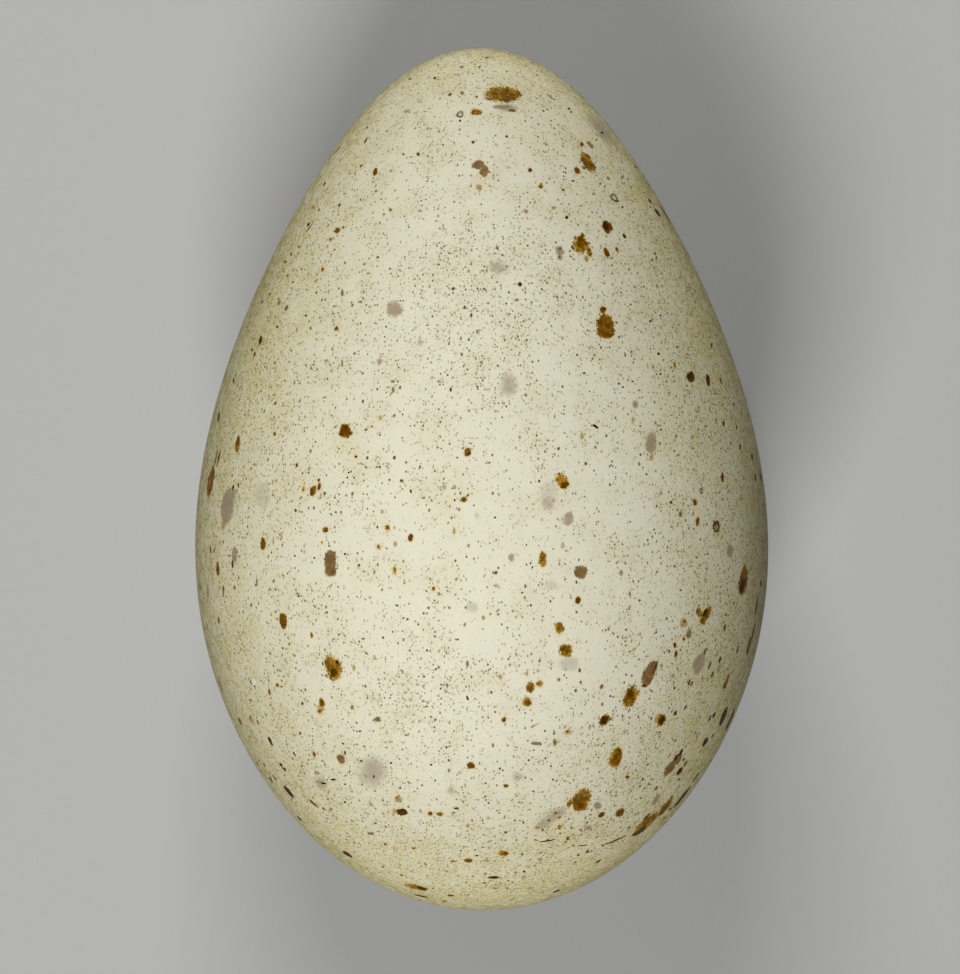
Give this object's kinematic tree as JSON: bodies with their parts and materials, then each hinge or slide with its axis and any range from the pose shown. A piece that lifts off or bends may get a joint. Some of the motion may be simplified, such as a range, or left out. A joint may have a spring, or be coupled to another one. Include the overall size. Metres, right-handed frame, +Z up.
{
  "type": "sarus crane egg",
  "caption": "Large pointed bird egg lying on its side, pale cream shell with scattered brown and lilac-grey spots.",
  "frame": {"origin": "middle of the small flat spot on the egg's side, on the surface that it rests on", "axes": "+Z up, out of the surface it rests on; +Y the way the narrow end points, which dips below level; +X across the egg"},
  "size_m": [0.0616, 0.0919, 0.062],
  "materials": {
    "eggshell": "satin"
  },
  "bodies": {
    "root": {"egg": "eggshell"}
  },
  "joints": []
}
